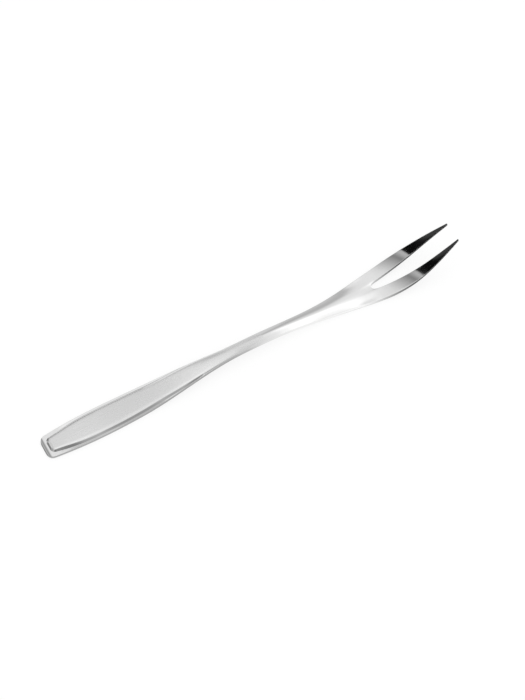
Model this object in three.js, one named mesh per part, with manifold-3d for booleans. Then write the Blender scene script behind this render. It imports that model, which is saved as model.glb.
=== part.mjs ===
// Escargot fork: a full-length steel blank with two upturned tines, and a raised panel that is let
// into the front of its handle. Millimetres, +Z up. The fork lies on its back along X, with its
// tines at +X, and the origin is under its middle.

import * as THREE from "three";
import { mergeVertices } from "three/addons/utils/BufferGeometryUtils.js";
import Module from "manifold-3d";

// Lengths along the fork, from the handle end to the tips
const HANDLE_LENGTH = 68;
const NECK_LENGTH = 12;
const SHOULDER_LENGTH = 35.5; // from the neck to the root of the slot
const TINE_LENGTH = 29.5; // from the root of the slot to the tips

// Outline seen from above
const HANDLE_END_WIDTH = 7.4;
const HANDLE_WIDTH = 9.8;
const HANDLE_WIDEST_AT = 19; // from the handle end
const HANDLE_END_ROUND = 2.4; // length of the rounded end
const END_CUT = 0.12; // how much of a rounded end is cut off flat
const NECK_WIDTH = 3.9;
const TINE_WIDTH = 3.8; // where the tines are widest
const TINE_WIDEST_AT = 12; // past the root of the slot
const TIP_WIDTH = 0.5;
const SLOT_ROOT_WIDTH = 2.6;
const SLOT_WIDTH = 4.8; // where the tines are widest
const SLOT_MOUTH_WIDTH = 6.1; // between the tips

// Underside seen from the side
const REST_LENGTH = 22; // flat under the handle end
const ARCH_HEIGHT = 3.2; // under the neck
const BELLY_LENGTH = 5; // flat under the head
const BELLY_SETBACK = 1.5; // from the end of the belly to the root of the slot
const TINE_BEND_RADIUS = 41;
const TINE_SLOPE = THREE.MathUtils.degToRad(29.3);

// Thicknesses
const HANDLE_THICKNESS = 1.3; // at the border
const HEAD_THICKNESS = 1.5;
const TIP_THICKNESS = 0.6;
const EDGE_ROUND = 0.25;
const NECK_CROWN = 0.7; // how far the middle of the neck stands above its side walls
const RIDGE_WIDTH = 0.2; // level breadth along the middle of the crown

// Raised panel on the handle
const PANEL_RISE = 0.6; // above the border
const PANEL_TIP_RISE = 0.05; // above the neck
const PANEL_WALL_RUN = 0.5; // how far its sloped wall leans in
const BORDER_WIDTH = 0.6; // from the outline to the foot of the panel
const BORDER_END_WIDTH = 1.5; // across the handle end
const BORDER_CORNER_WIDTH = 1.35; // at the corners of the handle end
const BORDER_NECK_WIDTH = 0.3; // where the panel runs out
const BORDER_TAPER_LENGTH = 18; // along which it narrows, from where the panel starts to sink
const PANEL_END_ROUND = 1.8;
const PANEL_FADE_LENGTH = 36; // along which it sinks into the neck
const PANEL_SETBACK = 4; // from its tip to the end of the neck
const PANEL_TIP_ROUND = 8;
const SEAT_DEPTH = 0.25; // of the pocket that holds the panel
const SEAT_CLEARANCE = 0.1;

// Shape of the curves: how much of its run a curve stays level for as it leaves and as it arrives
const EVEN_CURVE = { leave: 0.5, arrive: 0.5 };
const HANDLE_TAPER = { leave: 0.5, arrive: 0.25 };
const SHOULDER_FLARE = { leave: 0.55, arrive: 0.3 };
const CROWN_FADE = { leave: 0.75, arrive: 0.15 };
const TINE_FULLNESS = 0.4; // share of a tine's taper that stays full
const SQUARE_END = 3; // power of a rounded end with squarish corners
const ROUND_END = 2; // power of an elliptical end
const ROUND_LIMIT = 0.4; // largest share of a wall that a rounded edge takes
const RIDGE_LIMIT = 0.3; // largest share of the half-width that the level ridge takes

// Fineness of the facets
const STATION_STEP = 2.5;
const END_STATIONS = 7;
const TOP_STEPS = 5;
const CURVE_STEPS = 12;
const PROFILE_STEPS = 48;
const CUT_OVERRUN = 3; // how far a cutter reaches past what it cuts

const NECK_START = HANDLE_LENGTH;
const NECK_END = NECK_START + NECK_LENGTH;
const SLOT_ROOT = NECK_END + SHOULDER_LENGTH;
const LENGTH = SLOT_ROOT + TINE_LENGTH;
const HEAD_WIDEST = SLOT_ROOT + TINE_WIDEST_AT;
const HEAD_WIDTH = SLOT_WIDTH + 2 * TINE_WIDTH;
const TIP_SPAN = SLOT_MOUTH_WIDTH + 2 * TIP_WIDTH;
const PANEL_START = BORDER_END_WIDTH;
const PANEL_END = NECK_END - PANEL_SETBACK;
const PANEL_FADE_START = PANEL_END - PANEL_FADE_LENGTH;
const BELLY_END = SLOT_ROOT - BELLY_SETBACK;
const BELLY_START = BELLY_END - BELLY_LENGTH;

// Goes on from the path's last point to (x, y), leaving and arriving level.
function easeTo(path, x, y, curve = EVEN_CURVE) {
  const from = path.currentPoint.clone();
  const run = x - from.x;
  path.bezierCurveTo(from.x + curve.leave * run, from.y, x - curve.arrive * run, y, x, y);
}

// Reads a path that runs steadily along X as a height for each x.
function heightAlong(path) {
  const points = path.getPoints(PROFILE_STEPS);
  return (x) => {
    const found = points.findIndex((point) => point.x > x);
    const next = found < 0 ? points.length - 1 : Math.max(found, 1);
    const start = points[next - 1];
    const end = points[next];
    const share = THREE.MathUtils.clamp((x - start.x) / (end.x - start.x), 0, 1);
    return THREE.MathUtils.lerp(start.y, end.y, share);
  };
}

function makeHalfWidth() {
  const outline = new THREE.Path();
  outline.moveTo(0, HANDLE_END_WIDTH / 2);
  outline.quadraticCurveTo(HANDLE_WIDEST_AT / 2, HANDLE_WIDTH / 2, HANDLE_WIDEST_AT, HANDLE_WIDTH / 2);
  easeTo(outline, NECK_START, NECK_WIDTH / 2, HANDLE_TAPER);
  outline.lineTo(NECK_END, NECK_WIDTH / 2);
  easeTo(outline, HEAD_WIDEST, HEAD_WIDTH / 2, SHOULDER_FLARE);
  const fullTo = THREE.MathUtils.lerp(HEAD_WIDEST, LENGTH, TINE_FULLNESS);
  outline.quadraticCurveTo(fullTo, HEAD_WIDTH / 2, LENGTH, TIP_SPAN / 2);
  return heightAlong(outline);
}

function makeBackHeight() {
  const profile = new THREE.Path();
  profile.moveTo(0, 0);
  profile.lineTo(REST_LENGTH, 0);
  easeTo(profile, NECK_START, ARCH_HEIGHT);
  easeTo(profile, BELLY_START, 0);
  profile.lineTo(BELLY_END, 0);
  const lowest = -Math.PI / 2;
  profile.absarc(BELLY_END, TINE_BEND_RADIUS, TINE_BEND_RADIUS, lowest, lowest + TINE_SLOPE);
  const bendEnd = profile.getPoint(1);
  profile.lineTo(bendEnd.x + TINE_LENGTH, bendEnd.y + TINE_LENGTH * Math.tan(TINE_SLOPE));
  return heightAlong(profile);
}

// Share of the neck's crown that the section has.
function makeCrownShare() {
  const profile = new THREE.Path();
  profile.moveTo(0, 0);
  profile.lineTo(PANEL_FADE_START, 0);
  easeTo(profile, PANEL_END, 1);
  profile.lineTo(NECK_END, 1);
  easeTo(profile, SLOT_ROOT, 0, CROWN_FADE);
  profile.lineTo(LENGTH, 0);
  return heightAlong(profile);
}

// Height of the side walls.
function makeSideHeight() {
  const profile = new THREE.Path();
  profile.moveTo(0, HANDLE_THICKNESS);
  profile.lineTo(NECK_END, HANDLE_THICKNESS);
  easeTo(profile, SLOT_ROOT, HEAD_THICKNESS);
  easeTo(profile, LENGTH, TIP_THICKNESS);
  return heightAlong(profile);
}

// Breadth of the border between the outline and the foot of the panel.
function makeBorder() {
  const profile = new THREE.Path();
  profile.moveTo(0, BORDER_CORNER_WIDTH);
  easeTo(profile, HANDLE_WIDEST_AT, BORDER_WIDTH);
  profile.lineTo(PANEL_FADE_START, BORDER_WIDTH);
  easeTo(profile, PANEL_FADE_START + BORDER_TAPER_LENGTH, BORDER_NECK_WIDTH);
  return heightAlong(profile);
}

// How far the panel stands above the blank.
function makePanelRise() {
  const profile = new THREE.Path();
  profile.moveTo(0, PANEL_RISE);
  profile.lineTo(PANEL_FADE_START, PANEL_RISE);
  easeTo(profile, PANEL_END, PANEL_TIP_RISE);
  return heightAlong(profile);
}

const sideOutline = makeHalfWidth();
const backHeight = makeBackHeight();
const crownShare = makeCrownShare();
const sideHeight = makeSideHeight();
const border = makeBorder();
const panelRise = makePanelRise();

// Share of the full width at a rounded end that is cut off flat, for a distance in from that end.
function endShare(distance, round, power) {
  const inward = THREE.MathUtils.clamp(round - distance, 0, round) / (round + END_CUT);
  return (1 - inward ** power) ** (1 / power);
}

function halfWidth(x) {
  return sideOutline(x) * endShare(x, HANDLE_END_ROUND, SQUARE_END);
}

function edgeRound(x) {
  return Math.min(EDGE_ROUND, ROUND_LIMIT * sideHeight(x));
}

// Half-breadth of the level ridge along the middle of the crown.
function ridge(outer) {
  return Math.min(RIDGE_WIDTH / 2, RIDGE_LIMIT * outer);
}

// Upper face of the blank, whose crown falls from its ridge to the side walls.
function topHeight(x, y) {
  const outer = sideOutline(x);
  const beyond = THREE.MathUtils.clamp((Math.abs(y) - ridge(outer)) / (outer - ridge(outer)), 0, 1);
  return backHeight(x) + sideHeight(x) + NECK_CROWN * crownShare(x) * (1 - beyond ** 2);
}

// Distances from a rounded end that space its stations evenly round the curve.
function endDistances(round) {
  const shares = Array.from({ length: END_STATIONS }, (_, i) => i / (END_STATIONS - 1));
  return shares.map((share) => round * (1 - Math.cos((share * Math.PI) / 2)));
}

function evenStations(start, end) {
  const count = Math.ceil((end - start) / STATION_STEP);
  return Array.from({ length: count }, (_, i) => start + ((end - start) * (i + 1)) / count);
}

// Closed ring from one half of a section, listed from the middle of the top to the bottom.
function mirroredRing(x, half) {
  const right = half.map(([y, z]) => new THREE.Vector3(x, y, z));
  const left = half.filter(([y]) => y > 0).map(([y, z]) => new THREE.Vector3(x, -y, z));
  return [...right, ...left.reverse()];
}

// Closed solid through rings of equal count, from low x to high x.
function loft(rings) {
  const size = rings[0].length;
  const points = rings.flat();
  const index = [];
  for (let r = 0; r < rings.length - 1; r += 1) {
    for (let i = 0; i < size; i += 1) {
      const a = r * size + i;
      const b = r * size + ((i + 1) % size);
      index.push(a, a + size, b, b, a + size, b + size);
    }
  }
  const last = (rings.length - 1) * size;
  for (let i = 1; i < size - 1; i += 1) {
    index.push(0, i, i + 1, last, last + i + 1, last + i);
  }
  const geometry = new THREE.BufferGeometry().setFromPoints(points);
  geometry.setIndex(index);
  return geometry;
}

function blankRing(x) {
  const outer = halfWidth(x);
  const round = Math.min(edgeRound(x), ROUND_LIMIT * outer);
  const back = backHeight(x);
  const half = [[0, topHeight(x, 0)]];
  for (let i = 0; i <= TOP_STEPS; i += 1) {
    const y = THREE.MathUtils.lerp(ridge(outer), outer - round, i / TOP_STEPS);
    half.push([y, topHeight(x, y)]);
  }
  const shoulder = topHeight(x, outer - round);
  const sharp = round * (1 - Math.SQRT1_2);
  half.push([outer - sharp, shoulder - sharp]);
  half.push([outer, shoulder - round]);
  half.push([outer, back + round]);
  half.push([outer - sharp, back + sharp]);
  half.push([outer - round, back]);
  half.push([0, back]);
  return mirroredRing(x, half);
}

function makeBlankBody() {
  const stations = [...endDistances(HANDLE_END_ROUND), ...evenStations(HANDLE_END_ROUND, LENGTH)];
  return loft(stations.map(blankRing));
}

function makeSlotCutter() {
  const rootRadius = SLOT_ROOT_WIDTH / 2;
  const rootCentre = SLOT_ROOT + rootRadius;
  const beyond = LENGTH + CUT_OVERRUN;
  const side = (y) => [
    new THREE.Vector2(HEAD_WIDEST, (y * SLOT_WIDTH) / 2),
    new THREE.Vector2(LENGTH, (y * SLOT_MOUTH_WIDTH) / 2),
  ];
  const [farWide, farMouth] = side(1);
  const shape = new THREE.Shape();
  shape.moveTo(rootCentre, -rootRadius);
  shape.splineThru(side(-1));
  shape.lineTo(beyond, -farMouth.y);
  shape.lineTo(beyond, farMouth.y);
  shape.lineTo(farMouth.x, farMouth.y);
  shape.splineThru([farWide, new THREE.Vector2(rootCentre, rootRadius)]);
  shape.absarc(rootCentre, 0, rootRadius, Math.PI / 2, (3 * Math.PI) / 2);
  const depth = topHeight(LENGTH, 0) + 2 * CUT_OVERRUN;
  const options = { depth, bevelEnabled: false, curveSegments: CURVE_STEPS };
  return new THREE.ExtrudeGeometry(shape, options).translate(0, 0, -CUT_OVERRUN);
}

// Half-width at the foot of the panel.
function panelFoot(x) {
  const inside = sideOutline(x) - border(x);
  const end = endShare(x - PANEL_START, PANEL_END_ROUND, SQUARE_END);
  return inside * end * endShare(PANEL_END - x, PANEL_TIP_ROUND, ROUND_END);
}

function panelRing(x) {
  const foot = panelFoot(x);
  const rise = panelRise(x);
  const lean = Math.min((PANEL_WALL_RUN * rise) / PANEL_RISE, ROUND_LIMIT * foot);
  const half = [];
  for (let i = 0; i <= TOP_STEPS; i += 1) {
    const y = ((foot - lean) * i) / TOP_STEPS;
    half.push([y, topHeight(x, y) + rise]);
  }
  half.push([foot, topHeight(x, foot)]);
  for (let i = TOP_STEPS; i >= 0; i -= 1) {
    const y = (foot * i) / TOP_STEPS;
    half.push([y, topHeight(x, y) - SEAT_DEPTH + SEAT_CLEARANCE]);
  }
  return mirroredRing(x, half);
}

function panelStations() {
  const start = endDistances(PANEL_END_ROUND).map((distance) => PANEL_START + distance);
  const tip = endDistances(PANEL_TIP_ROUND).map((distance) => PANEL_END - distance);
  return [...start, ...evenStations(start.at(-1), tip.at(-1)), ...tip.reverse().slice(1)];
}

function makePanelBody() {
  return loft(panelStations().map(panelRing));
}

// Pocket in the blank: the panel's foot with clearance all round, open at the top.
function makePocketCutter() {
  const stations = panelStations();
  const rings = stations.map((x) => {
    const outer = panelFoot(x) + SEAT_CLEARANCE;
    const half = [];
    for (let i = 0; i <= TOP_STEPS; i += 1) {
      const y = (outer * i) / TOP_STEPS;
      half.push([y, topHeight(x, y) + CUT_OVERRUN]);
    }
    for (let i = TOP_STEPS; i >= 0; i -= 1) {
      const y = (outer * i) / TOP_STEPS;
      half.push([y, topHeight(x, y) - SEAT_DEPTH]);
    }
    return mirroredRing(x, half);
  });
  rings[0].forEach((point) => point.setX(point.x - SEAT_CLEARANCE));
  rings.at(-1).forEach((point) => point.setX(point.x + SEAT_CLEARANCE));
  return loft(rings);
}

const wasm = await Module();
wasm.setup();

function toSolid(geometry) {
  const bare = geometry.clone();
  bare.deleteAttribute("normal");
  bare.deleteAttribute("uv");
  const merged = mergeVertices(bare);
  const vertProperties = new Float32Array(merged.attributes.position.array);
  const triVerts = new Uint32Array(merged.index.array);
  return new wasm.Manifold(new wasm.Mesh({ numProp: 3, vertProperties, triVerts }));
}

function toGeometry(solid) {
  const mesh = solid.getMesh();
  const geometry = new THREE.BufferGeometry();
  geometry.setAttribute("position", new THREE.BufferAttribute(mesh.vertProperties, 3));
  geometry.setIndex(new THREE.BufferAttribute(mesh.triVerts, 1));
  geometry.computeVertexNormals();
  return geometry;
}

function makeForkBlank() {
  const slot = toSolid(makeSlotCutter());
  const pocket = toSolid(makePocketCutter());
  const body = toSolid(makeBlankBody()).subtract(slot).subtract(pocket);
  const steel = new THREE.MeshStandardMaterial({ color: 0xd9dadb, roughness: 0.12, metalness: 1 });
  const mesh = new THREE.Mesh(toGeometry(body), steel);
  mesh.name = "fork_blank";
  return mesh;
}

function makeHandlePanel() {
  const satin = new THREE.MeshStandardMaterial({ color: 0xd2d3d4, roughness: 0.28, metalness: 1 });
  const mesh = new THREE.Mesh(toGeometry(toSolid(makePanelBody())), satin);
  mesh.name = "handle_panel";
  return mesh;
}

const fork = new THREE.Group();
fork.position.x = -LENGTH / 2;
fork.add(makeForkBlank(), makeHandlePanel());

const part = new THREE.Group();
part.add(fork);

export default part;
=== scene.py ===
"""Looks of an escargot fork: a polished steel blank and a satin panel on its handle."""

import math

import bmesh
import bpy
from mathutils import Matrix, Vector


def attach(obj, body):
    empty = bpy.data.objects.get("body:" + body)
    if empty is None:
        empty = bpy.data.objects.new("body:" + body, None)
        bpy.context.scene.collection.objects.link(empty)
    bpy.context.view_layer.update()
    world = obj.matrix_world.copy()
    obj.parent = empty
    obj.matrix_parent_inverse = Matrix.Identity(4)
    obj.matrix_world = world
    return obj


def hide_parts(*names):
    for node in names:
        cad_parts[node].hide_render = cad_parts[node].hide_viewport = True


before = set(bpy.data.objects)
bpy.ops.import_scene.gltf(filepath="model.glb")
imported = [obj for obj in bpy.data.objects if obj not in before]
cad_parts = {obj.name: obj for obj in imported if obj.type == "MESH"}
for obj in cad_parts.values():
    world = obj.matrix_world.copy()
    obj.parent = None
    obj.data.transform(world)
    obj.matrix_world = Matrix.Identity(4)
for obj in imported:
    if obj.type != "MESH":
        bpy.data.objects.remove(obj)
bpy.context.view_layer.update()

MM = 0.001

# Lengths along the fork in millimetres, from the handle end to the tips
HANDLE_LENGTH = 68
NECK_LENGTH = 12
SHOULDER_LENGTH = 35.5  # from the neck to the root of the slot
TINE_LENGTH = 29.5  # from the root of the slot to the tips

# Outline from above
HANDLE_END_WIDTH = 7.4
HANDLE_WIDTH = 9.8
HANDLE_WIDEST_AT = 19  # from the handle end
HANDLE_END_ROUND = 2.4  # length of the rounded end
END_CUT = 0.12  # how much of a rounded end is cut off flat
NECK_WIDTH = 3.9
TINE_WIDTH = 3.8  # where the tines are widest
TINE_WIDEST_AT = 12  # past the root of the slot
TIP_WIDTH = 0.5
SLOT_ROOT_WIDTH = 2.6
SLOT_WIDTH = 4.8  # where the tines are widest
SLOT_MOUTH_WIDTH = 6.1  # between the tips

# Underside
REST_LENGTH = 22  # flat under the handle end
ARCH_HEIGHT = 3.2  # under the neck
BELLY_LENGTH = 5  # flat under the head
BELLY_SETBACK = 1.5  # from the end of the belly to the root of the slot
TINE_BEND_RADIUS = 41
TINE_SLOPE = math.radians(29.3)

# Thicknesses and the form of the front face
HANDLE_THICKNESS = 1.3  # at the border
HEAD_THICKNESS = 1.5
TIP_THICKNESS = 0.6
NECK_CROWN = 0.7  # how far the middle of the neck stands above its side walls
RIDGE_WIDTH = 0.2  # level breadth along the middle of the crown
END_ROLL = 0.5  # how far the front face rolls down at the handle end
END_ROLL_RUN = 1.3
TINE_DOME = 0.05  # how far the middle of a tine stands above its edges
TINE_DOME_RUN = 6  # along which the dome grows, from the root of the slot
BLANK_EDGE_ROUND = 0.045

# Border between the outline and the foot of the panel
BORDER_WIDTH = 0.5
BORDER_END_WIDTH = 1.5  # across the handle end
BORDER_CORNER_WIDTH = 1.3  # at the corners of the handle end
BORDER_CORNER_LENGTH = 15  # along which it narrows from the corners
BORDER_NECK_WIDTH = 0.06  # where the panel runs out
BORDER_TAPER_START = 37  # from the handle end
BORDER_TAPER_LENGTH = 12
BORDER_DISH = 0.15  # how far it sinks towards the panel
BORDER_DISH_START = 2  # from the handle end
BORDER_DISH_FULL = 6  # from the handle end
BORDER_UNDERLAP = 0.35  # how far the dish goes on under the panel

# Raised panel
PANEL_RISE = 0.6  # above the border
PANEL_TIP_RISE = 0.05  # above the neck
PANEL_WALL_RUN = 0.7  # how far its sloped wall leans in
PANEL_SHOULDER = 1.3  # breadth of the rounded shoulder along its sides
SHOULDER_DROP = 0.2  # how far the shoulder falls
PANEL_SINK = 0.1  # how far its wall goes down into the blank
PANEL_END_ROUND = 1.8
PANEL_FADE_LENGTH = 36  # along which it sinks into the neck
PANEL_SETBACK = 4  # from its tip to the end of the neck
PANEL_TIP_ROUND = 8
PANEL_EDGE_ROUND = 0.1

NECK_START = HANDLE_LENGTH
NECK_END = NECK_START + NECK_LENGTH
SLOT_ROOT = NECK_END + SHOULDER_LENGTH
LENGTH = SLOT_ROOT + TINE_LENGTH
HEAD_WIDEST = SLOT_ROOT + TINE_WIDEST_AT
HEAD_WIDTH = SLOT_WIDTH + 2 * TINE_WIDTH
TIP_SPAN = SLOT_MOUTH_WIDTH + 2 * TIP_WIDTH
PANEL_START = BORDER_END_WIDTH
PANEL_END = NECK_END - PANEL_SETBACK
PANEL_FADE_START = PANEL_END - PANEL_FADE_LENGTH
BELLY_END = SLOT_ROOT - BELLY_SETBACK
BELLY_START = BELLY_END - BELLY_LENGTH

# Shares and powers that shape the curves
HANDLE_TAPER = {"leave": 0.5, "arrive": 0.25}
SHOULDER_FLARE = {"leave": 0.55, "arrive": 0.3}
CROWN_FADE = {"leave": 0.75, "arrive": 0.15}
TINE_FULLNESS = 0.4  # share of a tine's taper that stays full
SQUARE_END = 3  # power of a rounded end with squarish corners
ROUND_END = 2  # power of an elliptical end
WALL_FADE = 3  # power by which the run of the panel's wall shrinks as the panel sinks
WALL_LIMIT = 0.4  # largest share of the panel's half-width that its wall takes
SHOULDER_FALL = 3  # power of the shoulder's curve
SHOULDER_LIMIT = 0.3  # largest share of the panel's half-width that its shoulder takes
CORNER_SHARE = 0.4  # share of its lean that the wall loses at the corners of the handle end

# Rows of points along the fork, and columns as shares of the breadth that they cross
ROW_STEP = 3.4
TINE_ROW_STEP = 2.6
TINE_ROWS_START = 1  # past the root of the slot
TINE_ROWS_END = 2.4  # from the tips
TIP_ROWS = (1.2, 0.4, 0)  # from the tips
END_TURNS = (0, 0.16, 0.3, 0.42, 0.54, 0.66, 0.78, 0.9, 1)  # shares of a quarter turn
HANDLE_COLUMNS = (0, 0.35, 0.7, 1)
TINE_COLUMNS = (0, 0.36, 0.7, 1)
PANEL_COLUMNS = (0, 0.4, 0.75, 1)
SHOULDER_COLUMNS = (0.4, 0.75, 1)
COLUMN_BLEND_START = 92  # where the handle's columns start to turn into those of the tines
LAST_FULL_ROW = 112.5  # the last row before the slot
ROOT_TURN = math.radians(48)  # from the middle of the slot's root to the next point on its curve
ROOT_ROW_INSIDE = 0.2  # past the centre of the root's curve, at the slot
ROOT_ROW_OUTSIDE = 0.4  # past the root, at the outline

# Finish of the meshes
CURVE_TRIES = 40  # halvings that find a place on a curve
EDGE_SEGMENTS = 2
SMOOTHING_LEVELS = 2
SHARP_EDGE = math.radians(32)
UPRIGHT_SHARE = 0.75  # of an edge's length that is height, past which it is an upright corner
MERGE_DISTANCE = 0.002 * MM
MIDDLE_DISTANCE = 0.001 * MM


def clamp(value, low, high):
    return max(low, min(high, value))


def blend(start, end, share):
    return start + (end - start) * share


def curve_share(along, leave=0.5, arrive=0.5):
    """Share of its rise that a curve has made, when it leaves and arrives level."""
    low, high = 0.0, 1.0
    for _ in range(CURVE_TRIES):
        t = (low + high) / 2
        reached = 3 * (1 - t) ** 2 * t * leave + 3 * (1 - t) * t ** 2 * (1 - arrive) + t ** 3
        if reached < along:
            low = t
        else:
            high = t
    return 3 * t ** 2 - 2 * t ** 3


def ease(x, start, end, leave=0.5, arrive=0.5):
    """Height at x on a curve between two points, level before the first and after the second."""
    share = clamp((x - start[0]) / (end[0] - start[0]), 0, 1)
    return blend(start[1], end[1], curve_share(share, leave, arrive))


def side_outline(x):
    """Half of the fork's width, before its handle end is rounded."""
    widest = (HANDLE_WIDEST_AT, HANDLE_WIDTH / 2)
    if x < HANDLE_WIDEST_AT:
        short = 1 - x / HANDLE_WIDEST_AT
        return blend(HANDLE_WIDTH / 2, HANDLE_END_WIDTH / 2, short ** 2)
    if x < NECK_END:
        return ease(x, widest, (NECK_START, NECK_WIDTH / 2), **HANDLE_TAPER)
    if x < HEAD_WIDEST:
        neck = (NECK_END, NECK_WIDTH / 2)
        return ease(x, neck, (HEAD_WIDEST, HEAD_WIDTH / 2), **SHOULDER_FLARE)
    share = (x - HEAD_WIDEST) / (LENGTH - HEAD_WIDEST)
    bend = 1 - 2 * TINE_FULLNESS
    t = (math.sqrt(TINE_FULLNESS ** 2 + bend * share) - TINE_FULLNESS) / bend
    return blend(HEAD_WIDTH / 2, TIP_SPAN / 2, t ** 2)


def end_share(distance, rounding, power):
    """Share of the full width at a rounded end that is cut off flat."""
    inward = clamp(rounding - distance, 0, rounding) / (rounding + END_CUT)
    return (1 - inward ** power) ** (1 / power)


def half_width(x):
    """Half of the fork's width."""
    return side_outline(x) * end_share(x, HANDLE_END_ROUND, SQUARE_END)


def slot_half_width(x):
    """Half of the gap between the tines."""
    centre = SLOT_ROOT + SLOT_ROOT_WIDTH / 2
    share = clamp((x - centre) / (LENGTH - centre), 0, 1)
    bow_share = (HEAD_WIDEST - centre) / (LENGTH - centre)
    bow = SLOT_WIDTH - blend(SLOT_ROOT_WIDTH, SLOT_MOUTH_WIDTH, bow_share)
    bulge = bow * share * (1 - share) / (bow_share * (1 - bow_share))
    return (blend(SLOT_ROOT_WIDTH, SLOT_MOUTH_WIDTH, share) + bulge) / 2


def back_height(x):
    """Height of the underside above the table."""
    if x < NECK_START:
        return ease(x, (REST_LENGTH, 0), (NECK_START, ARCH_HEIGHT))
    if x < BELLY_END:
        return ease(x, (NECK_START, ARCH_HEIGHT), (BELLY_START, 0))
    bent = TINE_BEND_RADIUS * math.sin(TINE_SLOPE)
    along = min(x - BELLY_END, bent)
    rise = TINE_BEND_RADIUS - math.sqrt(TINE_BEND_RADIUS ** 2 - along ** 2)
    return rise + max(x - BELLY_END - bent, 0) * math.tan(TINE_SLOPE)


def crown_share(x):
    """Share of the neck's crown that the front face has."""
    if x < NECK_END:
        return ease(x, (PANEL_FADE_START, 0), (PANEL_END, 1))
    return ease(x, (NECK_END, 1), (SLOT_ROOT, 0), **CROWN_FADE)


def side_height(x):
    """Height of the side walls above the underside."""
    if x < SLOT_ROOT:
        return ease(x, (NECK_END, HANDLE_THICKNESS), (SLOT_ROOT, HEAD_THICKNESS))
    return ease(x, (SLOT_ROOT, HEAD_THICKNESS), (LENGTH, TIP_THICKNESS))


def top_height(x, y):
    """Height of the front face of the blank, crowned at the neck."""
    ridge = RIDGE_WIDTH / 2
    beyond = clamp((abs(y) - ridge) / (side_outline(x) - ridge), 0, 1)
    return back_height(x) + side_height(x) + NECK_CROWN * crown_share(x) * (1 - beyond ** 2)


def border_width(x):
    """Breadth from the outline to the foot of the panel."""
    if x < BORDER_TAPER_START:
        return ease(x, (0, BORDER_CORNER_WIDTH), (BORDER_CORNER_LENGTH, BORDER_WIDTH))
    taper_end = BORDER_TAPER_START + BORDER_TAPER_LENGTH
    return ease(x, (BORDER_TAPER_START, BORDER_WIDTH), (taper_end, BORDER_NECK_WIDTH))


def border_reach(x):
    """How far in from the rim the dished border goes, on under the edge of the panel."""
    return border_width(x) + BORDER_UNDERLAP * (1 - crown_share(x))


def border_fall(x, y):
    """How far the border has sunk at y, from the rim of the handle in towards the panel."""
    slope = BORDER_DISH / BORDER_WIDTH * (1 - crown_share(x))
    slope *= ease(x, (BORDER_DISH_START, 0), (BORDER_DISH_FULL, 1))
    return slope * clamp(half_width(x) - abs(y), 0, border_reach(x))


def panel_rise(x):
    """Height of the panel above the blank."""
    return ease(x, (PANEL_FADE_START, PANEL_RISE), (PANEL_END, PANEL_TIP_RISE))


def panel_foot(x):
    """Half of the panel's width where its wall meets the blank."""
    inside = side_outline(x) - border_width(x)
    end = end_share(x - PANEL_START, PANEL_END_ROUND, SQUARE_END)
    return inside * end * end_share(PANEL_END - x, PANEL_TIP_ROUND, ROUND_END)


def place(x, y, z):
    """A point of the fork in the frame of the part, in metres."""
    return Vector((x - LENGTH / 2, y, z)) * MM


def steps_between(start, end, step):
    """Even steps from start, left out, to end."""
    count = max(1, round((end - start) / step))
    return [blend(start, end, (i + 1) / count) for i in range(count)]


def end_rows(rounding):
    """Distances in from a rounded end that follow its curve."""
    return [rounding * (1 - math.cos(turn * math.pi / 2)) for turn in END_TURNS]


def mesh_of(piece):
    """The mesh of a piece in edit mode, with its points ready to be picked by number."""
    mesh = bmesh.from_edit_mesh(piece.data)
    mesh.verts.ensure_lookup_table()
    return mesh


def take_points(piece, wanted):
    """Selects the points of these numbers and nothing else."""
    bpy.ops.mesh.select_all(action="DESELECT")
    mesh = mesh_of(piece)
    for number in wanted:
        mesh.verts[number].select_set(True)
    mesh.select_flush_mode()
    bmesh.update_edit_mesh(piece.data)


def taken_points(piece):
    """The points of a piece that are selected."""
    return [point for point in mesh_of(piece).verts if point.select]


def move_point(piece, number, target):
    """Brings one point of a piece to its place."""
    take_points(piece, [number])
    offset = target - mesh_of(piece).verts[number].co
    bpy.ops.transform.translate(value=offset)


def start_strip(name, first, second):
    """A new piece in edit mode: one strip of faces between the first two rows of points."""
    bpy.ops.object.select_all(action="DESELECT")
    bpy.ops.mesh.primitive_grid_add(x_subdivisions=1, y_subdivisions=len(first) - 1, size=1)
    piece = bpy.context.object
    piece.name = name
    piece.data.name = name
    bpy.ops.object.mode_set(mode="EDIT")
    bpy.context.tool_settings.mesh_select_mode = (True, False, False)
    points = sorted(mesh_of(piece).verts, key=lambda point: (round(point.co.x, 4), point.co.y))
    numbers = [point.index for point in points]
    for number, target in zip(numbers, first + second):
        move_point(piece, number, target)
    return piece, numbers[len(first):]


def add_row(piece, open_row, targets):
    """Extrudes the open edge to the next row, and brings each new point to its place."""
    carried = open_row[len(open_row) - len(targets):]
    take_points(piece, carried)
    step = targets[0] - mesh_of(piece).verts[carried[0]].co
    bpy.ops.mesh.extrude_region_move(TRANSFORM_OT_translate={"value": step})
    fresh = sorted(taken_points(piece), key=lambda point: point.co.y)
    numbers = [point.index for point in fresh]
    for number, target in zip(numbers, targets):
        move_point(piece, number, target)
    return numbers


def grow_sheet(name, rows):
    """Half of a front face, from the middle of the fork outwards, row by row along the fork."""
    piece, open_row = start_strip(name, rows[0], rows[1])
    for row in rows[2:]:
        open_row = add_row(piece, open_row, row)
    return piece


def drop_back(piece, depth, under):
    """Extrudes the whole front face down, and brings each point of the back to its place."""
    bpy.ops.mesh.select_all(action="SELECT")
    bpy.ops.mesh.extrude_region_move(TRANSFORM_OT_translate={"value": (0, 0, -depth * MM)})
    for number in [point.index for point in taken_points(piece)]:
        above = mesh_of(piece).verts[number].co.copy()
        move_point(piece, number, under(above))


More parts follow.
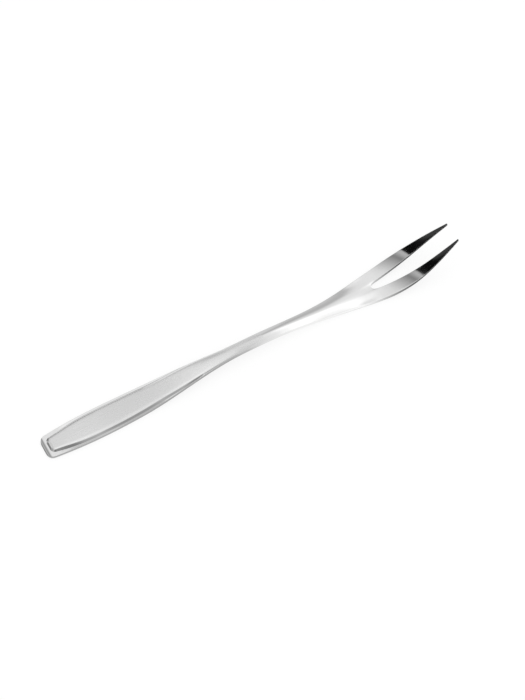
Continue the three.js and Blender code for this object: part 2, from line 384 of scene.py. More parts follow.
def open_middle(piece):
    """Deletes the faces on the fork's middle plane, where the two halves will join."""
    bpy.ops.mesh.select_all(action="DESELECT")
    mesh = mesh_of(piece)
    for face in mesh.faces:
        on_middle = all(abs(point.co.y) < MIDDLE_DISTANCE for point in face.verts)
        face.select_set(on_middle)
    bmesh.update_edit_mesh(piece.data)
    bpy.context.tool_settings.mesh_select_mode = (False, False, True)
    bpy.ops.mesh.delete(type="FACE")
    bpy.context.tool_settings.mesh_select_mode = (True, False, False)


def round_edges(piece, rounding):
    """Bevels the long edges between the faces and the walls, and leaves the upright corners."""
    bpy.context.tool_settings.mesh_select_mode = (False, True, False)
    bpy.ops.mesh.select_all(action="DESELECT")
    bpy.ops.mesh.edges_select_sharp(sharpness=SHARP_EDGE)
    mesh = mesh_of(piece)
    for edge in mesh.edges:
        run = edge.verts[0].co - edge.verts[1].co
        if edge.select and abs(run.z) > UPRIGHT_SHARE * run.length:
            edge.select_set(False)
    bmesh.update_edit_mesh(piece.data)
    bpy.ops.mesh.bevel(
        offset=rounding * MM, segments=EDGE_SEGMENTS, profile=0.5, affect="EDGES"
    )


def apply_modifier(piece, kind, **settings):
    """Adds a modifier with these settings and applies it."""
    modifier = piece.modifiers.new(kind.title(), kind)
    for name, value in settings.items():
        setattr(modifier, name, value)
    bpy.ops.object.modifier_apply(modifier=modifier.name)


def finish_plate(piece, rounding):
    """Joins the two halves, rounds the edges and smooths the surface."""
    open_middle(piece)
    bpy.ops.object.mode_set(mode="OBJECT")
    apply_modifier(
        piece,
        "MIRROR",
        use_axis=(False, True, False),
        use_clip=True,
        merge_threshold=MERGE_DISTANCE,
    )
    bpy.ops.object.mode_set(mode="EDIT")
    bpy.ops.mesh.select_all(action="SELECT")
    bpy.ops.mesh.remove_doubles(threshold=MERGE_DISTANCE)
    bpy.ops.mesh.normals_make_consistent(inside=False)
    round_edges(piece, rounding)
    bpy.ops.mesh.select_all(action="SELECT")
    bpy.ops.mesh.normals_make_consistent(inside=False)
    bpy.ops.object.mode_set(mode="OBJECT")
    apply_modifier(
        piece, "SUBSURF", levels=SMOOTHING_LEVELS, render_levels=SMOOTHING_LEVELS
    )
    bpy.ops.object.shade_smooth()


def blank_row(x):
    """Points of the front face across one station of the handle, neck or head."""
    outer = half_width(x)
    slot = SLOT_ROOT_WIDTH / 2
    head = [0, slot * math.sin(ROOT_TURN)]
    head += [blend(slot, outer, share) for share in TINE_COLUMNS]
    inside = outer - border_reach(x)
    handle = [inside * column for column in HANDLE_COLUMNS] + [(inside + outer) / 2, outer]
    share = ease(x, (COLUMN_BLEND_START, 0), (LAST_FULL_ROW, 1))
    across = [blend(start, end, share) for start, end in zip(handle, head)]
    roll = END_ROLL * clamp(1 - x / END_ROLL_RUN, 0, 1) ** 2
    return [place(x, y, top_height(x, y) - border_fall(x, y) - roll) for y in across]


def root_row():
    """Points along the round root of the slot, and on from it to the outline of the head."""
    radius = SLOT_ROOT_WIDTH / 2
    centre = SLOT_ROOT + radius
    turned = centre - radius * math.cos(ROOT_TURN), radius * math.sin(ROOT_TURN)
    points = [(SLOT_ROOT, 0), turned]
    for share in TINE_COLUMNS:
        x = blend(centre + ROOT_ROW_INSIDE, SLOT_ROOT + ROOT_ROW_OUTSIDE, share)
        points.append((x, blend(slot_half_width(x), half_width(x), share)))
    return [place(x, y, top_height(x, y)) for x, y in points]


def tine_row(x):
    """Points of the front face across one station of a tine, with its faint dome."""
    inner = slot_half_width(x)
    outer = half_width(x)
    dome = TINE_DOME * ease(x, (SLOT_ROOT, 0), (SLOT_ROOT + TINE_DOME_RUN, 1))
    dome *= ((outer - inner) / TINE_WIDTH) ** 2
    points = []
    for share in TINE_COLUMNS:
        y = blend(inner, outer, share)
        points.append(place(x, y, top_height(x, y) + 4 * dome * share * (1 - share)))
    return points


def model_blank():
    """The full-length stamped blank: handle, neck, head and two tines."""
    stations = end_rows(HANDLE_END_ROUND)
    stations += steps_between(HANDLE_END_ROUND, LAST_FULL_ROW, ROW_STEP)
    tines = steps_between(SLOT_ROOT + TINE_ROWS_START, LENGTH - TINE_ROWS_END, TINE_ROW_STEP)
    tines += [LENGTH - distance for distance in TIP_ROWS]
    rows = [blank_row(x) for x in stations] + [root_row()]
    rows += [tine_row(x) for x in tines]
    piece = grow_sheet("fork_blank_polished", rows)

    def under(above):
        x = above.x / MM + LENGTH / 2
        return Vector((above.x, above.y, back_height(x) * MM))

    drop_back(piece, HANDLE_THICKNESS, under)
    finish_plate(piece, BLANK_EDGE_ROUND)
    return piece


def panel_lean(x):
    """How far the panel's wall leans in between its foot and its shoulder."""
    run = PANEL_WALL_RUN * (panel_rise(x) / PANEL_RISE) ** WALL_FADE
    return min(run, WALL_LIMIT * panel_foot(x))


def panel_shoulder(x):
    """Breadth of the rounded shoulder between the level top of the panel and its wall."""
    return min(PANEL_SHOULDER * panel_rise(x) / PANEL_RISE, SHOULDER_LIMIT * panel_foot(x))


def end_pull(x):
    """Share of its lean by which the top of the panel is drawn in from the handle end."""
    return clamp(1 - (x - PANEL_START) / (2 * PANEL_END_ROUND), 0, 1) ** 2


def panel_edge(x):
    """Half of the panel's width at the top of its wall."""
    return panel_foot(x) - panel_lean(x) * (1 - CORNER_SHARE * end_pull(x))


def panel_top_x(x):
    """Where along the fork the top of the panel lies over the foot at x."""
    return x + panel_lean(x) * end_pull(x)


def panel_row(x):
    """Points across the level top of the panel and down its rounded shoulder."""
    edge = panel_edge(x)
    level = edge - panel_shoulder(x)
    drop = SHOULDER_DROP * panel_shoulder(x) / PANEL_SHOULDER
    at_end = clamp(1 - (x - PANEL_START) / PANEL_SHOULDER, 0, 1) ** 2
    points = [(column * level, at_end) for column in PANEL_COLUMNS]
    for share in SHOULDER_COLUMNS:
        points.append((blend(level, edge, share), max(share ** SHOULDER_FALL, at_end)))
    return [
        place(panel_top_x(x), y, top_height(x, y) + panel_rise(x) - drop * share)
        for y, share in points
    ]


def model_panel():
    """The raised panel on the front of the handle, with sloped walls."""
    start = [PANEL_START + distance for distance in end_rows(PANEL_END_ROUND)]
    tip = [PANEL_END - distance for distance in end_rows(PANEL_TIP_ROUND)]
    middle = steps_between(start[-1], tip[-1], ROW_STEP)
    stations = [*start, *middle, *tip[-2::-1]]
    piece = grow_sheet("handle_panel_satin", [panel_row(x) for x in stations])

    def under(above):
        x = above.x / MM + LENGTH / 2
        nearest = min(stations, key=lambda station: abs(panel_top_x(station) - x))
        y = above.y / MM * panel_foot(nearest) / panel_edge(nearest)
        return place(nearest, y, top_height(nearest, y) - border_fall(nearest, y) - PANEL_SINK)

    drop_back(piece, PANEL_RISE, under)
    finish_plate(piece, PANEL_EDGE_ROUND)
    return piece


# Limits of a mask, and those between which the noise of each kind of mark turns from none to full
MASK = (0, 1)
LINE_LIMITS = (0.3, 0.7)
SCRATCH_LIMITS = (0, 0.03)  # above the sparseness
SMUDGE_LIMITS = (0.42, 0.68)
WEAR_LIMITS = (0.52, 0.6)  # of pointiness, from plain surface to rubbed edge
BREAK_LIMITS = (0.35, 0.6)
BROKEN_WEAR = (0.3, 1)  # share of the wear that is left in a break and between breaks
SCRATCH_TURNS = (0.21, -0.34, 1.02)

# Colours of the metal, plain and marked
POLISHED_COLOUR = (0.745, 0.745, 0.745)
SMUDGED_COLOUR = (0.725, 0.725, 0.722)
SATIN_COLOUR = (0.7, 0.7, 0.7)
GRAIN_COLOUR = (0.665, 0.665, 0.663)

# Roughness of the metal, and what each mark adds to it or takes from it
POLISHED_ROUGHNESS = (0.05, 0.09)  # clean and smudged
LINE_DULLING = (0, 0.02)
MARK_DULLING = (0, 0.08)
SATIN_FACING = (0.84, 0.97)  # upward part of the normal, from polished wall to satin top
SATIN_ROUGHNESS = (0.09, 0.24)  # on the walls and on the top
GRAIN_DULLING = (0, 0.08)
SMUDGE_DULLING = (0, 0.03)
MARK_POLISHING = (0, 0.05)


def new_material(name):
    """A new material with its nodes, their links and its shader."""
    material = bpy.data.materials.new(name)
    material.use_nodes = True
    nodes = material.node_tree.nodes
    return nodes, material.node_tree.links, nodes["Principled BSDF"], material


def new_group(name, inputs, output):
    """A shader node group with plain number inputs and one mask as its output."""
    group = bpy.data.node_groups.new(name, "ShaderNodeTree")
    for label, value in inputs.items():
        socket = group.interface.new_socket(label, in_out="INPUT", socket_type="NodeSocketFloat")
        socket.default_value = value
    group.interface.new_socket(output, in_out="OUTPUT", socket_type="NodeSocketFloat")
    nodes = group.nodes
    return group, nodes, group.links, nodes.new("NodeGroupInput"), nodes.new("NodeGroupOutput")


def add_math(nodes, links, operation, first, second):
    """A Math node on two values, each a socket or a plain number."""
    node = nodes.new("ShaderNodeMath")
    node.operation = operation
    for socket, value in zip(node.inputs, (first, second)):
        if isinstance(value, (int, float)):
            socket.default_value = value
        else:
            links.new(value, socket)
    return node.outputs["Value"]


def add_range(nodes, links, value, source, target, interpolation="LINEAR"):
    """A Map Range node that takes a value from one pair of limits to another."""
    node = nodes.new("ShaderNodeMapRange")
    node.interpolation_type = interpolation
    node.inputs["From Min"].default_value, node.inputs["From Max"].default_value = source
    node.inputs["To Min"].default_value, node.inputs["To Max"].default_value = target
    links.new(value, node.inputs["Value"])
    return node.outputs["Result"]


def add_noise(nodes, links, vector, detail, roughness=0.5):
    """A Noise node over places that are already counted in marks."""
    node = nodes.new("ShaderNodeTexNoise")
    node.inputs["Scale"].default_value = 1
    node.inputs["Detail"].default_value = detail
    node.inputs["Roughness"].default_value = roughness
    links.new(vector, node.inputs["Vector"])
    return node.outputs["Fac"]


def stretched_places(nodes, links, along, across, turn=0.0):
    """Places on the piece, turned about Z and counted in marks per metre along and across."""
    places = nodes.new("ShaderNodeTexCoord")
    turned = nodes.new("ShaderNodeMapping")
    turned.inputs["Rotation"].default_value = (0, 0, turn)
    marks = nodes.new("ShaderNodeCombineXYZ")
    scaled = nodes.new("ShaderNodeVectorMath")
    scaled.operation = "MULTIPLY"
    links.new(places.outputs["Object"], turned.inputs["Vector"])
    for axis, count in (("X", along), ("Y", across), ("Z", across)):
        links.new(count, marks.inputs[axis])
    links.new(turned.outputs["Vector"], scaled.inputs[0])
    links.new(marks.outputs["Vector"], scaled.inputs[1])
    return scaled.outputs["Vector"]


def polishing_lines():
    """Fine lines that run along the fork, left by the polishing belt."""
    inputs = {"Marks Along": 60, "Marks Across": 6000}
    group, nodes, links, taken, given = new_group("polishing_lines", inputs, "Lines")
    along, across = taken.outputs["Marks Along"], taken.outputs["Marks Across"]
    places = stretched_places(nodes, links, along, across)
    lines = add_noise(nodes, links, places, detail=3, roughness=0.6)
    clear = add_range(nodes, links, lines, LINE_LIMITS, MASK)
    links.new(clear, given.inputs["Lines"])
    return group


def hairline_scratches():
    """Sparse scratches in a few directions, as from a drawer."""
    inputs = {"Marks Along": 45, "Marks Across": 2600, "Sparseness": 0.72}
    group, nodes, links, taken, given = new_group("hairline_scratches", inputs, "Scratches")
    along, across = taken.outputs["Marks Along"], taken.outputs["Marks Across"]
    most = 0.0
    for turn in SCRATCH_TURNS:
        places = stretched_places(nodes, links, along, across, turn)
        streaks = add_noise(nodes, links, places, detail=1)
        above = add_math(nodes, links, "SUBTRACT", streaks, taken.outputs["Sparseness"])
        mark = add_range(nodes, links, above, SCRATCH_LIMITS, MASK)
        most = add_math(nodes, links, "MAXIMUM", mark, most)
    links.new(most, given.inputs["Scratches"])
    return group


def handling_smudges():
    """Soft patches where fingers have dulled the polish."""
    inputs = {"Patches": 140}
    group, nodes, links, taken, given = new_group("handling_smudges", inputs, "Smudges")
    patches = taken.outputs["Patches"]
    places = stretched_places(nodes, links, patches, patches)
    cloud = add_noise(nodes, links, places, detail=3, roughness=0.55)
    soft = add_range(nodes, links, cloud, SMUDGE_LIMITS, MASK, "SMOOTHSTEP")
    links.new(soft, given.inputs["Smudges"])
    return group


def edge_wear():
    """Edges and corners that use has rubbed, broken up along their length."""
    inputs = {"Breaks": 700}
    group, nodes, links, taken, given = new_group("edge_wear", inputs, "Wear")
    pointiness = nodes.new("ShaderNodeNewGeometry").outputs["Pointiness"]
    edges = add_range(nodes, links, pointiness, WEAR_LIMITS, MASK, "SMOOTHSTEP")
    breaks = taken.outputs["Breaks"]
    places = stretched_places(nodes, links, breaks, breaks)
    noise = add_noise(nodes, links, places, detail=2)
    broken = add_range(nodes, links, noise, BREAK_LIMITS, BROKEN_WEAR)
    links.new(add_math(nodes, links, "MULTIPLY", edges, broken), given.inputs["Wear"])
    return group


def place_group(nodes, group, **values):
    """A group of nodes in a material, with some of its inputs set, as its mask."""
    node = nodes.new("ShaderNodeGroup")
    node.node_tree = group
    for label, value in values.items():
        node.inputs[label.replace("_", " ")].default_value = value
    return node.outputs[0]


def add_tint(nodes, links, mask, plain, marked):
    """A colour that goes from the plain metal to the marked one by a mask."""
    tint = nodes.new("ShaderNodeMix")
    tint.data_type = "RGBA"
    tint.inputs["A"].default_value = (*plain, 1)
    tint.inputs["B"].default_value = (*marked, 1)
    links.new(mask, tint.inputs["Factor"])
    return tint.outputs["Result"]


def add_dulling(nodes, links, dull, mask, amounts, operation="ADD"):
    """Roughness to which a mark has added, or from which it has taken, its amount by a mask."""
    amount = add_range(nodes, links, mask, MASK, amounts)
    return add_math(nodes, links, operation, dull, amount)


def add_bump(nodes, links, height, strength, depth):
    """A normal that follows the height of fine marks, with their depth in millimetres."""
    bump = nodes.new("ShaderNodeBump")
    bump.inputs["Strength"].default_value = strength
    bump.inputs["Distance"].default_value = depth * MM
    links.new(height, bump.inputs["Height"])
    return bump.outputs["Normal"]


def polished_steel(lines, scratches, smudges, wear):
    """Mirror polish with fine marks, for the whole blank."""
    nodes, links, shader, material = new_material("polished_steel")
    shader.inputs["Metallic"].default_value = 1
    line = place_group(nodes, lines, Marks_Along=70, Marks_Across=7000)
    scratch = place_group(nodes, scratches)
    smudge = place_group(nodes, smudges)
    rubbed = place_group(nodes, wear)
    marks = add_math(nodes, links, "MAXIMUM", scratch, rubbed)
    tint = add_tint(nodes, links, smudge, POLISHED_COLOUR, SMUDGED_COLOUR)
    links.new(tint, shader.inputs["Base Color"])
    dull = add_range(nodes, links, smudge, MASK, POLISHED_ROUGHNESS)
    dull = add_dulling(nodes, links, dull, line, LINE_DULLING)
    dull = add_dulling(nodes, links, dull, marks, MARK_DULLING)
    links.new(dull, shader.inputs["Roughness"])
    height = add_math(nodes, links, "SUBTRACT", line, scratch)
    normal = add_bump(nodes, links, height, strength=0.03, depth=0.004)
    links.new(normal, shader.inputs["Normal"])
    return material


def satin_steel(lines, scratches, smudges, wear):
    """Satin on the level top of the panel, polished on its shoulders and walls."""
    nodes, links, shader, material = new_material("satin_steel")
    shader.inputs["Metallic"].default_value = 1
    line = place_group(nodes, lines, Marks_Along=110, Marks_Across=5200)
    scratch = place_group(nodes, scratches, Sparseness=0.74)
    smudge = place_group(nodes, smudges, Patches=110)
    rubbed = place_group(nodes, wear)
    surface = nodes.new("ShaderNodeNewGeometry")
    facing = nodes.new("ShaderNodeSeparateXYZ")
    links.new(surface.outputs["Normal"], facing.inputs["Vector"])
    level = add_range(nodes, links, facing.outputs["Z"], SATIN_FACING, MASK, "SMOOTHSTEP")
    grain = add_math(nodes, links, "MULTIPLY", line, level)
    tint = add_tint(nodes, links, grain, SATIN_COLOUR, GRAIN_COLOUR)
    links.new(tint, shader.inputs["Base Color"])
    marks = add_math(nodes, links, "MAXIMUM", scratch, rubbed)
    dull = add_range(nodes, links, level, MASK, SATIN_ROUGHNESS)
    dull = add_dulling(nodes, links, dull, grain, GRAIN_DULLING)
    dull = add_dulling(nodes, links, dull, smudge, SMUDGE_DULLING)
    dull = add_dulling(nodes, links, dull, marks, MARK_POLISHING, "SUBTRACT")
    links.new(dull, shader.inputs["Roughness"])
    height = add_math(nodes, links, "SUBTRACT", grain, scratch)
    normal = add_bump(nodes, links, height, strength=0.05, depth=0.005)
    links.new(normal, shader.inputs["Normal"])
    return material


def dress(piece, material, node):
    """Gives a piece its metal, and says which node of the part it replaces."""
    piece.data.materials.clear()
    piece.data.materials.append(material)
    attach(piece, "root")
    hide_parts(node)


# Camera at the photograph's viewing angle
CAMERA_AZIMUTH = math.radians(-29.125)
CAMERA_ELEVATION = math.radians(62)
CAMERA_DISTANCE = 0.55
CAMERA_LENS = 90.8
CAMERA_SENSOR = 36
CAMERA_AIM = Vector((0, 0, 0.003))
CAMERA_SHIFT = (0.0140, -0.0095)


def make_camera():
    """The camera, on a sphere round the fork."""
    flat = math.cos(CAMERA_ELEVATION)
    back = Vector((
        math.sin(CAMERA_AZIMUTH) * flat,
        -math.cos(CAMERA_AZIMUTH) * flat,
        math.sin(CAMERA_ELEVATION),
    ))
    data = bpy.data.cameras.new("camera")
    data.lens = CAMERA_LENS
    data.sensor_width = CAMERA_SENSOR
    data.shift_x, data.shift_y = CAMERA_SHIFT
    camera = bpy.data.objects.new("camera", data)
    camera.location = CAMERA_AIM + back * CAMERA_DISTANCE
    camera.rotation_euler = (-back).to_track_quat("-Z", "Y").to_euler()
    bpy.context.scene.collection.objects.link(camera)
    bpy.context.scene.camera = camera


# The white stage: its levels, where 1 is the white of the photograph, and its sizes and places in metres
ROOM_LEVEL = 1  # what the metal mirrors
ROOM_LIGHT = 0.85  # what the room sheds
FLOOR_PALING = 0.8  # how much of the floor's shadow its own white hides
FLOOR_SIZE = 8
FLOOR_COLOUR = (0.92, 0.92, 0.92, 1)
FLOOR_ROUGHNESS = 0.9
SOFTBOX_SIZE = 1.2
SOFTBOX_POWER = 3.4
SOFTBOX_PLACE = (0.1, -0.1, 0.8)


def seen_directly(nodes, links):
    """A mask that is 1 for what the camera sees, straight, mirrored in metal or through glass."""
    light_path = nodes.new("ShaderNodeLightPath")
    seen = light_path.outputs["Is Camera Ray"]
    for kind in ("Is Glossy Ray", "Is Transmission Ray"):
        seen = add_math(nodes, links, "MAXIMUM", seen, light_path.outputs[kind])
    return seen


def light_world():
    """A white room that looks a little brighter than the light it sheds."""
    world = bpy.data.worlds.new("studio")
    bpy.context.scene.world = world
    world.use_nodes = True
    nodes = world.node_tree.nodes
    links = world.node_tree.links
    background = nodes["Background"]
    background.inputs["Color"].default_value = (1, 1, 1, 1)
    seen = seen_directly(nodes, links)
    strength = add_range(nodes, links, seen, MASK, (ROOM_LIGHT, ROOM_LEVEL))
    links.new(strength, background.inputs["Strength"])


def card_nodes(name):
    """A new glowing material for a card, with the card's own coordinates."""
    material = bpy.data.materials.new(name)
    material.use_nodes = True
    nodes = material.node_tree.nodes
    links = material.node_tree.links
    nodes.clear()
    places = nodes.new("ShaderNodeUVMap")
    split = nodes.new("ShaderNodeSeparateXYZ")
    glow = nodes.new("ShaderNodeEmission")
    output = nodes.new("ShaderNodeOutputMaterial")
    links.new(places.outputs["UV"], split.inputs["Vector"])
    links.new(glow.outputs["Emission"], output.inputs["Surface"])
    return material, nodes, links, split, glow


def banded_glow(name, bands, axis, fade):
    """A glow in bands of level along one axis of a card, kept where the other axis has faded in."""
    material, nodes, links, split, glow = card_nodes(name)
    ramp = nodes.new("ShaderNodeValToRGB")
    stops = ramp.color_ramp.elements
    while len(stops) < len(bands):
        stops.new(1)
    for stop, (share, level) in zip(stops, bands):
        stop.position = share
        stop.color = (level, level, level, 1)
    links.new(split.outputs[axis], ramp.inputs["Fac"])
    start, full = fade
    target = MASK if start < full else MASK[::-1]
    other = split.outputs["X" if axis == "Y" else "Y"]
    kept = add_range(nodes, links, other, sorted(fade), target, "SMOOTHSTEP")
    mix = nodes.new("ShaderNodeMix")
    mix.data_type = "RGBA"
    mix.inputs["A"].default_value = (ROOM_LEVEL, ROOM_LEVEL, ROOM_LEVEL, 1)
    links.new(kept, mix.inputs["Factor"])
    links.new(ramp.outputs["Color"], mix.inputs["B"])
    links.new(mix.outputs["Result"], glow.inputs["Color"])
    return material


def make_card(name, centre, across, up, size, material):
    """A flat card beside the fork that shows only in what the metal mirrors."""
    bpy.ops.object.select_all(action="DESELECT")
    bpy.ops.mesh.primitive_plane_add(size=1)
    card = bpy.context.object
    card.name = name
    across, up = across.normalized(), up.normalized()
    turned = Matrix((across, up, across.cross(up))).transposed()
    card.location = centre
    card.rotation_euler = turned.to_euler()
    card.scale = (*size, 1)
    card.data.materials.append(material)
    card.visible_camera = False
    card.visible_diffuse = False
    card.visible_shadow = False


def make_floor():
    """A pale floor whose shadows are softened by its own white."""
    bpy.ops.object.select_all(action="DESELECT")
    bpy.ops.mesh.primitive_plane_add(size=FLOOR_SIZE)
    floor = bpy.context.object
    floor.name = "floor"
    nodes, links, shader, material = new_material("pale_floor")
    shader.inputs["Base Color"].default_value = FLOOR_COLOUR
    shader.inputs["Roughness"].default_value = FLOOR_ROUGHNESS
    shader.inputs["Specular IOR Level"].default_value = 0
    white = nodes.new("ShaderNodeEmission")
    paling = nodes.new("ShaderNodeMixShader")
    seen = add_range(nodes, links, seen_directly(nodes, links), MASK, (0, FLOOR_PALING))
    links.new(seen, paling.inputs["Fac"])
    links.new(shader.outputs["BSDF"], paling.inputs[1])
    links.new(white.outputs["Emission"], paling.inputs[2])
    links.new(paling.outputs["Shader"], nodes["Material Output"].inputs["Surface"])
    floor.data.materials.append(material)


def hang_softbox():
    """A soft lamp over the fork, which the metal does not mirror."""
    data = bpy.data.lights.new("overhead_softbox", "AREA")
    data.shape = "RECTANGLE"
    data.size = SOFTBOX_SIZE
    data.size_y = SOFTBOX_SIZE
    data.energy = SOFTBOX_POWER
    lamp = bpy.data.objects.new("overhead_softbox", data)
    lamp.location = SOFTBOX_PLACE
    lamp.visible_glossy = False
    bpy.context.scene.collection.objects.link(lamp)


X_AXIS = Vector((1, 0, 0))
Y_AXIS = Vector((0, 1, 0))
Z_AXIS = Vector((0, 0, 1))


def hang_card(name, corner, across, up, bands, axis, fade):
    """A card from one corner along two edges, with its bands and fade at places in metres."""
    lengths = {"X": across.length, "Y": up.length}
    other = "X" if axis == "Y" else "Y"
    shares = [(spot / lengths[axis], level) for spot, level in bands]
    faded = [spot / lengths[other] for spot in fade]
    glow = banded_glow(name, shares, axis, faded)
    centre = Vector(corner) + (across + up) / 2
    make_card(name, centre, across, up, (across.length, up.length), glow)


def from_start(bands):
    """Bands with their places counted from the first one, and the place of that one."""
    start = bands[0][0]
    return [(x - start, level) for x, level in bands], start


def level_card(name, height, y_range, bands, fade, turn=0.0):
    """A card at one height from its first band to its last, turned about Z, with a fade across it."""
    bands, start = from_start(bands)
    near, far = y_range
    across = Vector((math.cos(turn), math.sin(turn), 0))
    up = Vector((-math.sin(turn), math.cos(turn), 0))
    corner = across * start + up * near + Z_AXIS * height
    fade = [y - near for y in fade]
    hang_card(name, corner, across * bands[-1][0], up * (far - near), bands, "X", fade)


def upright_card(name, y, height, bands, fade):
    """A card that stands on the table, from its first band to its last, with a fade upwards."""
    bands, start = from_start(bands)
    hang_card(name, (start, y, 0), X_AXIS * bands[-1][0], Z_AXIS * height, bands, "X", fade)


# Places that several cards share, in metres
FORK_START = -LENGTH / 2 * MM
END_X = -0.5  # beyond the handle end
NEAR_Y = -0.4  # in front of the fork
FAR_Y = 0.6  # behind it
FAR_STEP = 0.02  # between the cards that stand behind one another
KEY_HEIGHT = 0.15
HEAD_DROP = 0.0005  # of the head card below the key card, which it overlaps
KEY_TURN = math.radians(8.5)
TABLE_HEIGHT = 0.0004  # of the cards that lie on the table

# The card that the tines mirror: the directions of its edges, its middle, and how far it goes from there
LEFT_ACROSS = Vector((0.8339, -0.2936, 0.4678))
LEFT_UP = Vector((0.4396, 0.8653, -0.2392))
LEFT_MIDDLE = Vector((-1.033, 0.957, 1.484))
LEFT_REACH = 1.5
LEFT_REACH_DOWN = 2
LEFT_REACH_UP = 0.8

# Levels of the cards, each at a place in metres, set in trial renders. A level or upright card
# reaches from its first place to its last. First those over the head and the neck, along the fork
KEY_BANDS = (
    (0.08, 1.1),
    (0.086, 1.3),
    (0.09, 1.4),
    (0.2, 1.4),
)
HEAD_BANDS = (
    (0.055, 1.0),
    (0.07, 1.09),
    (0.076, 1.22),
    (0.083, 1.3),
    (0.09, 1.4),
)
NECK_BANDS = (
    (0.0, 0.85),
    (0.02, 0.8),
    (0.046, 0.93),
    (0.055, 1.0),
)

# Over the panel and close over its near shoulder, by place along the fork
PANEL_BANDS = (
    (-0.13, 0.62),
    (-0.118, 0.5),
    (-0.104, 0.41),
    (-0.091, 0.42),
    (-0.083, 0.72),
    (-0.07, 1.0),
    (-0.05, 0.99),
    (-0.044, 0.92),
    (-0.039, 0.82),
    (-0.035, 0.82),
    (-0.031, 1.05),
    (-0.025, 1.13),
    (-0.012, 1.13),
    (-0.003, 1.03),
)
SHOULDER_BANDS = (
    (FORK_START, 1.3),
    (-0.06, 1.3),
    (-0.05, 1.15),
    (-0.046, 1.05),
    (-0.034, 1.1),
    (-0.026, 1.3),
    (-0.019, 1.3),
    (-0.01, 1.1),
    (-0.003, 1.0),
)

# Behind the fork, by place along it, and for the card close to its far edge by height
FAR_BANDS = (
    (0.25, 0.76),
    (0.28, 0.71),
    (0.31, 0.63),
    (0.36, 0.59),
    (0.42, 0.6),
    (0.47, 0.7),
    (0.53, 0.8),
    (0.62, 0.87),
    (0.75, 1.0),
)
FAR_SIDE_BANDS = (
    (0.06, 1.0),
    (0.1, 0.92),
    (0.15, 0.86),
    (0.2, 0.81),
    (0.25, 0.76),
)
FAR_LOW_BANDS = (
    (END_X, 0.25),
    (0.045, 0.25),
    (0.075, 1.0),
)
BORDER_BANDS = (
    (-0.1, 0.6),
    (0.046, 0.6),
    (0.058, 1.0),
)
FAR_EDGE_BANDS = (
    (0.0, 1.1),
    (0.018, 1.1),
    (0.027, 0.62),
    (0.048, 0.62),
    (0.06, 1.0),
)

# In front of the fork and on the table under it, by place along the fork
NEAR_BANDS = (
    (END_X, 0.45),
    (-0.3, 0.3),
    (-0.15, 0.22),
    (-0.117, 0.25),
    (-0.09, 0.35),
    (-0.07, 0.46),
    (-0.05, 0.52),
    (-0.019, 0.52),
    (-0.011, 0.58),
    (-0.008, 0.62),
    (0.004, 0.58),
    (0.02, 0.42),
    (0.05, 0.3),
    (0.09, 0.4),
    (0.13, 0.7),
    (0.17, 1.0),
    (0.25, 1.0),
)
# Painted shade on the table card: its grey bands under the handle and dark bands under the tines stand
# where the fork's shadow on the table would be, as the walls mirror it. Its bright bands by the neck and
# the head are a glowing bounce card.
TABLE_SHADE_AND_BOUNCE_BANDS = (
    (FORK_START, 0.5),
    (-0.017, 0.5),
    (-0.0075, 0.53),
    (-0.0015, 0.67),
    (0.0035, 0.95),
    (0.0085, 1.06),
    (0.0145, 1.15),
    (0.0374, 1.25),
    (0.0425, 0.95),
    (0.0455, 0.7),
    (0.0485, 0.48),
    (0.0505, 0.36),
    (0.0525, 0.26),
    (0.0545, 0.18),
    (0.0555, 0.12),
    (0.085, 0.08),
)
END_TABLE_BANDS = (
    (-0.4, 0.2),
    (FORK_START, 0.2),
)

# Beyond the handle end, beyond the tips and to the left of the tines, from one edge of the card
END_BANDS = (
    (0.0, 0.45),
    (0.5, 0.42),
    (0.59, 0.3),
    (0.785, 0.3),
)
RIGHT_BANDS = (
    (0.0, 0.4),
    (1.3, 0.4),
)
LEFT_BANDS = (
    (0.0, 0.06),
    (1.6, 0.06),
    (1.625, 0.004),
    (1.993, 0.004),
    (2.022, 0.55),
    (2.09, 0.58),
    (2.24, 0.27),
    (2.57, 0.69),
    (2.738, 0.91),
    (2.934, 1.0),
)


def hang_overhead_cards():
    """Cards over the head and the neck, and one close over the panel's near shoulder."""
    level_card(
        "key_card",
        height=KEY_HEIGHT,
        y_range=(-0.3, 0.062),
        bands=KEY_BANDS,
        fade=(0.06, 0.03),
        turn=KEY_TURN,
    )
    level_card(
        "head_card",
        height=KEY_HEIGHT - HEAD_DROP,
        y_range=(-0.3, 0.035),
        bands=HEAD_BANDS,
        fade=(0.05, 0.04),
        turn=KEY_TURN,
    )
    level_card(
        "neck_card",
        height=KEY_HEIGHT,
        y_range=(-0.3, 0.035),
        bands=NECK_BANDS,
        fade=(0.035, 0.015),
        turn=KEY_TURN,
    )
    level_card(
        "shoulder_card",
        height=0.02,
        y_range=(-0.007, 0.003),
        bands=SHOULDER_BANDS,
        fade=(0.003, 0),
    )


def stand_far_cards():
    """Cards that stand behind the fork, which its head, neck and border mirror."""
    upright_card(
        "far_card",
        y=FAR_Y,
        height=1.28,
        bands=FAR_BANDS,
        fade=(1.2, 0.75),
    )
    upright_card(
        "far_side_card",
        y=FAR_Y,
        height=0.8,
        bands=FAR_SIDE_BANDS,
        fade=(0.8, 0.6),
    )
    hang_card(
        "far_edge_card",
        corner=(-0.034, 0.03, 0),
        across=X_AXIS * 0.032,
        up=Z_AXIS * FAR_EDGE_BANDS[-1][0],
        bands=FAR_EDGE_BANDS,
        axis="Y",
        fade=(0, 0.008),
    )
    upright_card(
        "border_card",
        y=FAR_Y + FAR_STEP,
        height=0.75,
        bands=BORDER_BANDS,
        fade=(0.75, 0.6),
    )
    upright_card(
        "far_low_card",
        y=FAR_Y - FAR_STEP,
        height=0.36,
        bands=FAR_LOW_BANDS,
        fade=(0.36, 0.22),
    )


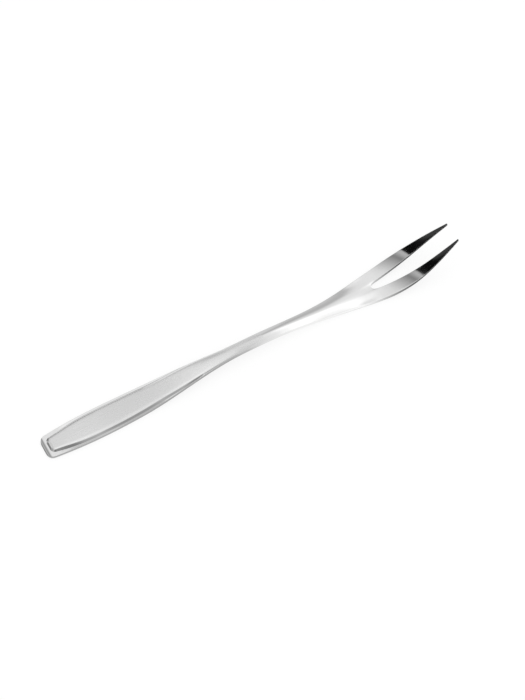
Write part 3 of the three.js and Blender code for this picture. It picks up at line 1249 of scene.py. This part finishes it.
def stand_near_cards():
    """Cards in front of the fork and beyond both of its ends, which its walls mirror."""
    upright_card(
        "near_card",
        y=NEAR_Y,
        height=0.5,
        bands=NEAR_BANDS,
        fade=(0.49, 0.35),
    )
    hang_card(
        "end_card",
        corner=(END_X, NEAR_Y, 0),
        across=Y_AXIS * END_BANDS[-1][0],
        up=Z_AXIS * 0.5,
        bands=END_BANDS,
        axis="X",
        fade=(0.5, 0.2),
    )
    hang_card(
        "right_card",
        corner=(0.8, -1.2, 0),
        across=Y_AXIS * RIGHT_BANDS[-1][0],
        up=Z_AXIS,
        bands=RIGHT_BANDS,
        axis="X",
        fade=(1, 0.6),
    )


def lay_low_cards():
    """Cards on the table beside the fork, and one low over the far half of the panel. The one beside the
    fork is painted shade where the fork's shadow on the table would be, with a glowing bounce band by
    the neck and the head.
    """
    level_card(
        "end_table_card",
        height=TABLE_HEIGHT,
        y_range=(-0.05, 0.1),
        bands=END_TABLE_BANDS,
        fade=(-0.05, -0.04),
    )
    level_card(
        "panel_card",
        height=0.05,
        y_range=(0.008, 0.04),
        bands=PANEL_BANDS,
        fade=(0, 0.008),
    )
    # Painted shade, seen only in the metal: grey and dark where the fork's shadow on the table would be,
    # under the handle and the tines, and a glowing bounce card by the neck and the head
    level_card(
        "table_shade_and_bounce_card",
        height=TABLE_HEIGHT,
        y_range=(-0.03, 0.004),
        bands=TABLE_SHADE_AND_BOUNCE_BANDS,
        fade=(-0.04, -0.03),
    )


def hang_tine_card():
    """The large card to the left of the fork, which the upturned tines mirror."""
    hang_card(
        "left_card",
        corner=LEFT_MIDDLE - LEFT_REACH * LEFT_ACROSS - LEFT_REACH_DOWN * LEFT_UP,
        across=2 * LEFT_REACH * LEFT_ACROSS,
        up=(LEFT_REACH_DOWN + LEFT_REACH_UP) * LEFT_UP,
        bands=LEFT_BANDS,
        axis="X",
        fade=(-0.1, 0),
    )


def set_stage():
    """Floor, light and cards round the fork."""
    make_floor()
    hang_softbox()
    light_world()
    hang_overhead_cards()
    stand_far_cards()
    stand_near_cards()
    lay_low_cards()
    hang_tine_card()


blank = model_blank()
panel = model_panel()
marks = polishing_lines(), hairline_scratches(), handling_smudges(), edge_wear()
dress(blank, polished_steel(*marks), "fork_blank")
dress(panel, satin_steel(*marks), "handle_panel")
make_camera()
set_stage()
bpy.context.scene.view_settings.view_transform = "Standard"
